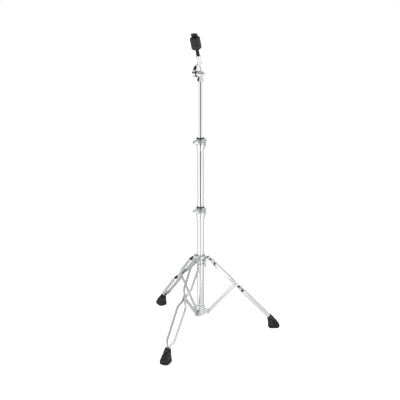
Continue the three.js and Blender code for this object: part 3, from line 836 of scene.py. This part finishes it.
class STAND_OT_boots(StandOperator, bpy.types.Operator):
    """Adds the three rubber boots"""
    bl_idname = "stand.boots"
    bl_label = "Boots"

    def execute(self, context):
        sizes = context.scene.stand_sizes
        for leg, turn in leg_turns(sizes).items():
            fit(self.boot(sizes), f"foot_{leg}", bevel=0.0, place=upright_at() @ turn)
        return {"FINISHED"}

    def boot(self, sizes):
        """Skin from the sole to the mouth's rim, and down into the mouth along the leg"""
        rows = self.rows()
        rings = [self.ring(sizes, row, level, 0.0) for row, level in rows]
        down = Vector((math.sin(sizes.leg_lean), 0.0, -math.cos(sizes.leg_lean)))
        mouth = ((0.0008, -0.0005), (0.0028, -0.0006), (0.0029, 0.004), (0.0029, 0.016))
        for inset, depth in mouth:
            points = self.ring(sizes, *rows[-1], inset)
            rings.append([Vector(point) + down * depth for point in points])
        return lofted("boot_moulded", rings)

    def rows(self):
        """The boot's sections and others between them, each with its level"""
        found, steps = [], 8
        for order, (low, high) in enumerate(zip(BOOT_SECTIONS, BOOT_SECTIONS[1:])):
            for step in range(steps):
                row = [a + (b - a) * step / steps for a, b in zip(low, high)]
                found.append((row, order + step / steps))
        return found + [(BOOT_SECTIONS[-1], len(BOOT_SECTIONS) - 1)]

    def ring(self, sizes, row, level, inset):
        """Points of one section, drawn in near the two grooves, whose places are levels"""
        height, out, size, tilt = row
        grooves, groove_depth, groove_width = (3.46, 4.66), 0.0014, 0.24
        for centre in grooves:
            inset += groove_depth * math.exp(-((level - centre) / groove_width) ** 4)
        lean = tilt * sizes.leg_lean
        radial = leg_point(sizes, mouth_at(sizes))[0] + 0.0195 * out
        along, wide = 0.010 + 0.0124 * size - inset, 0.0106 + 0.0078 * size - inset
        return [(radial + x * math.cos(lean), y, sizes.mouth_height * height + x * math.sin(lean))
                for x, y in superellipse(56, 3.2, along, wide)]


class STAND_OT_clamps(StandOperator, bpy.types.Operator):
    """Adds the two tube clamps with bushings and nuts"""
    bl_idname = "stand.clamps"
    bl_label = "Clamps"

    def execute(self, context):
        sizes = context.scene.stand_sizes
        for name, within in (("base", "middle"), ("middle", "upper")):
            top, outer, inner = span(f"{name}_clamp")[1], tube_radius(name), tube_radius(within)
            bolt = moved(0, -BOLT_OUT, top - BOLT_DROP) @ TO_X
            self.casting(name, top, outer + sizes.clearance, bolt)
            self.bushing(name, top + sizes.clearance, outer, inner + sizes.clearance)
            profile = edged(0.0062, -0.0273, -0.0223, edge=0.0004)
            nut = ring("nut_plain", SCREW_HOLE, profile, HEXAGON, upright_at() @ bolt)
            fit(nut, f"{name}_clamp_nut")
        return {"FINISHED"}

    def casting(self, name, top, bore, bolt):
        radius, edge = 0.0168, 0.001
        profile = [(bore + 0.0013, top - 0.0415), (radius, top - 0.019), (radius, top - edge),
                   (radius - edge, top)]
        body = ring(f"{name}_clamp_casting", bore, profile)
        steps, height = 12, top - BOLT_DROP
        ears = lofted("ears", [self.ear(step / steps, height) for step in range(steps + 1)])
        split = plate("split", rectangle(-0.05, 0.0, top - 0.032, top + PAST), 0.0024, TO_Y)
        tools = [rod("bore", bore, top - 0.06, top + 2 * PAST), split,
                 rod("bolt", SCREW_HOLE, -0.04, 0.04, bolt)]
        piece = cut(combined(body, [ears]), tools)
        fit(piece, f"{name}_clamp", bevel=0.0006, place=upright_at())

    def ear(self, portion, height):
        """Section of the two ears, whose front is crowned about the split"""
        x, radius, crown = 0.009 - 0.031 * portion, 0.0084, 0.060
        front = -BOLT_OUT + crown - math.sqrt(crown ** 2 - x ** 2)
        return [(x, y, z) for y, z in slot_outline((-radius, height), (front, height), radius)]

    def bushing(self, name, lip, outer, bore):
        """Liner of a clamp, with a rounded lip that rests on its top"""
        node = f"{name}_clamp_bushing"
        radius, rise, edge = 0.0149, 0.0012, 0.0013
        profile = [(outer, span(node)[0]), (outer, lip), (radius, lip), (radius, lip + rise),
                   *arc((radius - edge, lip + rise), edge, 0, math.pi / 2, 6)]
        fit(ring(f"{name}_clamp_liner", bore, profile, ROUND, upright_at()), node)


class STAND_OT_wing_bolts(StandOperator, bpy.types.Operator):
    """Adds the four wing bolts"""
    bl_idname = "stand.wing_bolts"
    bl_label = "Wing bolts"

    def execute(self, context):
        sizes = context.scene.stand_sizes
        for name in ("base", "middle"):
            height = span(f"{name}_clamp")[1] - BOLT_DROP
            place = moved(0.0093, -BOLT_OUT, height) @ spun(math.radians(104), "X")
            self.bolt(f"{name}_clamp_wing_bolt", place, CLAMP_BOLT)
        quarter = spun(math.pi / 2, "X")
        boss = spun(sizes.boss_azimuth) @ moved(BOLT_OUT, 0, COLLAR_LOW + 0.013)
        self.bolt("leg_collar_wing_bolt", boss @ quarter, COLLAR_BOLT)
        post = moved(0, 0, sizes.tilter_height) @ spun(sizes.tilter_turn) @ moved(0.0083, 0, 0)
        self.bolt("tilter_wing_bolt", post @ quarter @ quarter, TILTER_BOLT)
        return {"FINISHED"}

    def bolt(self, node, place, facts):
        shank, tail, hub, high, breadth, lobe = facts
        reach, centre = breadth / 2 - lobe, high - lobe + 0.003
        outline = [(0.0, high * 0.3), *arc((reach, centre), lobe, -math.pi / 2, math.pi / 2, 14),
                   (0.0, high - 0.0007)]
        wings = [plate("wing", outline, 0.004, spun(turn)) for turn in (0.0, math.pi)]
        body = turned(f"{node}_cast", [(0.0, 0.0), (hub, 0.0), (hub, high - 0.001),
                                       (hub - 0.001, high), (0.0, high)], SLIM_ROUND)
        piece = combined(body, [*wings, rod("shank", shank, -tail, 0.0007)])
        fit(piece, node, bevel=0.0008, segments=4, place=upright_at() @ (place @ WING_TURN))


class STAND_OT_tilter(StandOperator, bpy.types.Operator):
    """Adds the tilter with its brake ring and nut"""
    bl_idname = "stand.tilter"
    bl_label = "Tilter"

    def execute(self, context):
        sizes = context.scene.stand_sizes
        post = upright_at() @ spun(sizes.tilter_turn)
        across = moved(0, 0, sizes.tilter_height) @ TO_X
        profile = [(radius, UPPER_TOP + above) for radius, above in POST_PROFILE]
        barrel = rod("barrel", 0.012, -0.0105, 0.008, across)
        body = combined(turned("tilter_post", profile), [barrel])
        piece = cut(body, [rod("hole", TILTER_HOLE, -0.02, 0.02, across)])
        fit(piece, "tilter_base", bevel=0.0007, place=post)
        brake = ring("brake_washer", TILTER_HOLE, [(0.0126, -0.0133), (0.0126, -0.0108)], ROUND,
                     post @ across)
        fit(brake, "tilter_brake_ring")
        nut = ring("tilter_nut_plain", TILTER_HOLE, edged(0.0058, -0.0319, -0.0283, edge=0.0004),
                   HEXAGON, post @ across)
        fit(nut, "tilter_nut")
        self.head(sizes)
        return {"FINISHED"}

    def head(self, sizes):
        drum = turned("tilter_head_cast", [(0.0, -0.028), (0.0132, -0.028), (0.015, -0.0262),
                                           (0.015, -0.0136), (0.0, -0.0136)], ROUND, TO_X)
        axis = moved(sizes.rod_offset, 0.0, 0.0)
        neck = turned("neck", [(0.0, 0.037), (0.0082, 0.037), (0.009, 0.039), (0.009, 0.0668),
                               (0.0078, 0.068), (0.0, 0.068)], ROUND, axis)
        arm = lofted("arm", [self.oval(row, sizes.rod_offset) for row in ARM_SECTIONS])
        tools = [rod("hole", TILTER_HOLE, -0.034, -0.0076, TO_X),
                 rod("socket", SCREW_HOLE, 0.046, 0.08, axis)]
        piece = cut(combined(drum, [arm, neck]), tools)
        fit(piece, "tilter_head", bevel=0.0009, segments=4, place=leaning(sizes))

    def oval(self, row, offset):
        """Section of the arm, turned about the rod's axis"""
        height, left, right, half, degrees = row
        middle, pivot = (left + right) / 2, Vector((offset, 0.0))
        spin = Matrix.Rotation(-math.radians(degrees), 2)
        points = []
        for x, y in superellipse(48, 2.5, (right - left) / 2, half):
            place = pivot + spin @ (Vector((middle + x, y)) - pivot)
            points.append((place.x, place.y, height))
        return points


class STAND_OT_rod(StandOperator, bpy.types.Operator):
    """Adds the rod with its sleeve, seat and wing nut"""
    bl_idname = "stand.rod"
    bl_label = "Rod and wing nut"

    def execute(self, context):
        sizes = context.scene.stand_sizes
        place = leaning(sizes, sizes.rod_offset)
        felt_top = FELT_LOW + 2 * sizes.felt_height + sizes.clearance
        low = felt_top + sizes.clearance
        top = low + 0.0142
        fit(rod("rod_threaded", 0.003, 0.0463, top - 0.0027, place), "cymbal_rod")
        sleeve = ring("sleeve_smooth", SCREW_HOLE, [(0.0063, 0.0683), (0.0063, felt_top)],
                      SLIM_ROUND, place)
        fit(sleeve, "cymbal_sleeve")
        seat = [(0.0145, FELT_LOW - 0.0024), (0.0145, FELT_LOW - 0.0003)]
        fit(ring("seat_moulded", SLEEVE_HOLE, seat, ROUND, place), "cymbal_seat", bevel=0.0005)
        fit(self.wing_nut(low, top), "wing_nut", bevel=0.0008, segments=4, place=place)
        return {"FINISHED"}

    def wing_nut(self, low, top):
        """Flanged nut with two lobes that stand up from its hub"""
        flange, hub, lobe, reach = 0.0145, 0.0068, 0.0043, 0.0078
        body = turned("wing_nut_moulded", [(0.0, low), (flange, low), (flange, low + 0.0022),
                                           (0.0133, low + 0.003), (hub, low + 0.003),
                                           (hub, top - 0.0007), (0.0, top - 0.0007)])
        outline = [(0.0, low + 0.0015), (reach, low + 0.0015),
                   *arc((reach, top - lobe), lobe, -math.pi / 3, math.pi, 14), (0.0, top - lobe)]
        lobes = [plate("lobe", outline, 0.0064, spun(turn)) for turn in (0.0, math.pi)]
        bore = rod("bore", SCREW_HOLE, 0.12, top - 0.0024)
        return cut(combined(body, lobes), [bore])


class STAND_OT_felts(StandOperator, bpy.types.Operator):
    """Adds the two pressed felts"""
    bl_idname = "stand.felts"
    bl_label = "Felts"

    def execute(self, context):
        sizes = context.scene.stand_sizes
        radius, height, edge = sizes.felt_radius, sizes.felt_height, 0.0022
        place = leaning(sizes, sizes.rod_offset)
        for order, name in enumerate(("lower_felt", "upper_felt")):
            low = FELT_LOW + order * (height + sizes.clearance)
            profile = (arc((radius - edge, low + edge), edge, -math.pi / 2, 0, 5)
                       + arc((radius - edge, low + height - edge), edge, 0, math.pi / 2, 5))
            fit(ring(f"{name}_pressed", SLEEVE_HOLE, profile, ROUND, place), name, bevel=0.0)
        return {"FINISHED"}


class STAND_OT_stage(StandOperator, bpy.types.Operator):
    """Adds the floor, the light and the camera"""
    bl_idname = "stand.stage"
    bl_label = "Stage"

    def execute(self, context):
        studio = context.scene.stand_studio
        self.floor()
        self.cards(studio)
        self.surroundings(studio)
        self.lamps()
        self.camera(studio)
        return {"FINISHED"}

    def floor(self):
        build = bmesh.new()
        bmesh.ops.create_grid(build, x_segments=1, y_segments=1, size=40.0)
        floor = mesh_object("studio_floor", build)
        finish = Finish("studio floor")
        shade = tone(bpy.context.scene.stand_colours.floor)
        finish.shade(Base_Color=shade, Roughness=0.9, Specular_IOR_Level=0.1,
                     Emission_Color=shade, Emission_Strength=0.62)
        floor.data.materials.append(finish.material)

    def card(self, name, corners, level, seen=False):
        """Glowing card that the camera sees, or else only the mirror surfaces, where it is a
        painted reflection
        """
        build = bmesh.new()
        build.faces.new([build.verts.new(AXIS + Vector(corner)) for corner in corners])
        card = mesh_object(name, build)
        finish = Finish(name)
        finish.shade(Base_Color=tone((0.0, 0.0, 0.0)), Roughness=1.0, Specular_IOR_Level=0.0,
                     Emission_Color=tone((level, level, level)), Emission_Strength=1.0)
        card.data.materials.append(finish.material)
        card.visible_camera, card.visible_glossy = seen, not seen
        card.visible_diffuse = card.visible_shadow = False

    def cards(self, studio):
        """White backdrops on four sides, and the glowing cards that only the chrome mirrors:
        painted reflections
        """
        far = 20
        for turn, side in enumerate(("back", "left", "front", "right")):
            spin = spun(turn * math.pi / 2)
            corners = [tuple(spin @ Vector((x, far, z))) for x, z in rectangle(-far, far, -1, far)]
            self.card("studio_backdrop_" + side, corners, 1.0, seen=True)
        half, front = studio.flag_width / 2, -1.6
        flag = rectangle(-half, half, 0.003, studio.flag_height)
        # The dark flag glows faintly and is seen only by mirror rays: a painted dark reflection
        # line down the tubes
        self.card("front_reflection_card", [(x, front, z) for x, z in flag], 0.01)
        strips = ((-0.12, -0.2), (-0.03, -0.21), (0.0, -0.14), (0.15, -0.01), (0.15, 0.02),
                  (-0.12, 0.02))
        wedge = ((0.4, 1.4), (1.5, 1.4), (2.4, 3.8), (0.6, 3.8))
        # Level cards that paint reflections into the chrome: name, height above the floor,
        # brightness and corners
        reflection_sheets = (("front_reflection_sheet", 0.002, 0.75, ((0, -0.2), (half, front), (-half, front))),
                  ("back_reflection_sheet", 0.002, 0.8, rectangle(-3, 3, 0.02, 4)),
                  ("side_reflection_sheet", 0.0015, 1.1, rectangle(0.0, 3, -0.4, 0.02)),
                  ("strip_sheet", 0.002, 0.74, strips),
                  ("foot_reflection_sheet", 0.0025, 0.5, rectangle(-0.2, -0.07, -0.3, -0.175)),
                  ("back_reflection_strip", 0.003, 0.08, wedge))
        # Each sheet, strip_sheet among them, is seen only by mirror rays: painted reflections of
        # set brightness in the chrome
        for name, height, level, corners in reflection_sheets:
            self.card(name, [(x, y, height) for x, y in corners], level)

    def surroundings(self, studio):
        """Light all round but for the dark upper part of the room behind the stand"""
        world = bpy.data.worlds.new("studio surroundings")
        bpy.context.scene.world = world
        world.use_nodes = True
        tree = Tree(world.node_tree)
        place = tree.node("ShaderNodeTexCoord").out("Generated")
        parts = tree.node("ShaderNodeSeparateXYZ", {}, {0: place})
        stops = [(0.45, tone((studio.sky,) * 3)), (0.95, tone((studio.ceiling,) * 3))]
        ramp = tree.node("ShaderNodeValToRGB", {"stops": stops}, {0: parts.out("Z")}).out("Color")
        behind = parts.out("Y") * 0.3 - parts.out("X") * 0.9
        dark = (tree.smoothstep(parts.out("Z"), 0.0, 0.05)
                * tree.smoothstep(parts.out("Z"), 0.5, 0.38) * tree.smoothstep(behind, 0.34, 0.5))
        shade = tree.blend(dark, ramp, tone((studio.room,) * 3))
        tree.put(tree.nodes["Background"].inputs["Color"], shade)

    def lamps(self):
        target = AXIS + Vector((0.0, 0.0, 0.6))
        for name, place, width, power in LAMPS:
            lamp = bpy.data.lights.new(name, "AREA")
            lamp.shape = "RECTANGLE"
            lamp.size, lamp.size_y = width, width * 1.4
            lamp.energy = power
            made = bpy.data.objects.new(name, lamp)
            made.location = AXIS + Vector(place)
            made.visible_glossy = False
            aim = target - made.location
            made.rotation_euler = aim.to_track_quat("-Z", "Y").to_euler()
            bpy.context.scene.collection.objects.link(made)

    def camera(self, studio):
        """Camera on the stand's level axis, its picture moved by half a pixel of 400"""
        lens = bpy.data.cameras.new("camera")
        lens.sensor_width = 36.0
        lens.lens = studio.focal
        lens.shift_x = -0.5 / 400
        made = bpy.data.objects.new("camera", lens)
        made.location = AXIS + Vector((0.0, -studio.distance, studio.height))
        made.rotation_euler = (math.pi / 2 - studio.pitch, 0.0, 0.0)
        bpy.context.scene.collection.objects.link(made)
        bpy.context.scene.camera = made
        bpy.context.scene.view_settings.view_transform = "Standard"


STEPS = (STAND_OT_stage, STAND_OT_tubes, STAND_OT_hub, STAND_OT_legs, STAND_OT_boots,
         STAND_OT_clamps, STAND_OT_wing_bolts, STAND_OT_tilter, STAND_OT_rod, STAND_OT_felts)


class STAND_PT_panel(bpy.types.Panel):
    """Lists the stand's sizes, colours and operators"""
    bl_idname = "STAND_PT_panel"
    bl_label = "Straight cymbal stand"
    bl_space_type = "VIEW_3D"
    bl_region_type = "UI"
    bl_category = "Stand"

    def draw(self, context):
        for step in STEPS:
            self.layout.operator(step.bl_idname)
        for name in SETTINGS:
            settings = getattr(context.scene, name)
            box = self.layout.box()
            for key in type(settings).__annotations__:
                box.prop(settings, key)


SETTINGS = {"stand_sizes": StandSizes, "stand_colours": FinishColours,
            "stand_studio": StudioSettings}


def register():
    for made in (*SETTINGS.values(), *STEPS, STAND_PT_panel):
        bpy.utils.register_class(made)
    for name, made in SETTINGS.items():
        setattr(bpy.types.Scene, name, bpy.props.PointerProperty(type=made))


def unregister():
    for name in SETTINGS:
        delattr(bpy.types.Scene, name)
    for made in reversed((*SETTINGS.values(), *STEPS, STAND_PT_panel)):
        bpy.utils.unregister_class(made)


def main():
    register()
    for step in STEPS:
        space, name = step.bl_idname.split(".")
        getattr(getattr(bpy.ops, space), name)()


if __name__ == "__main__":
    main()
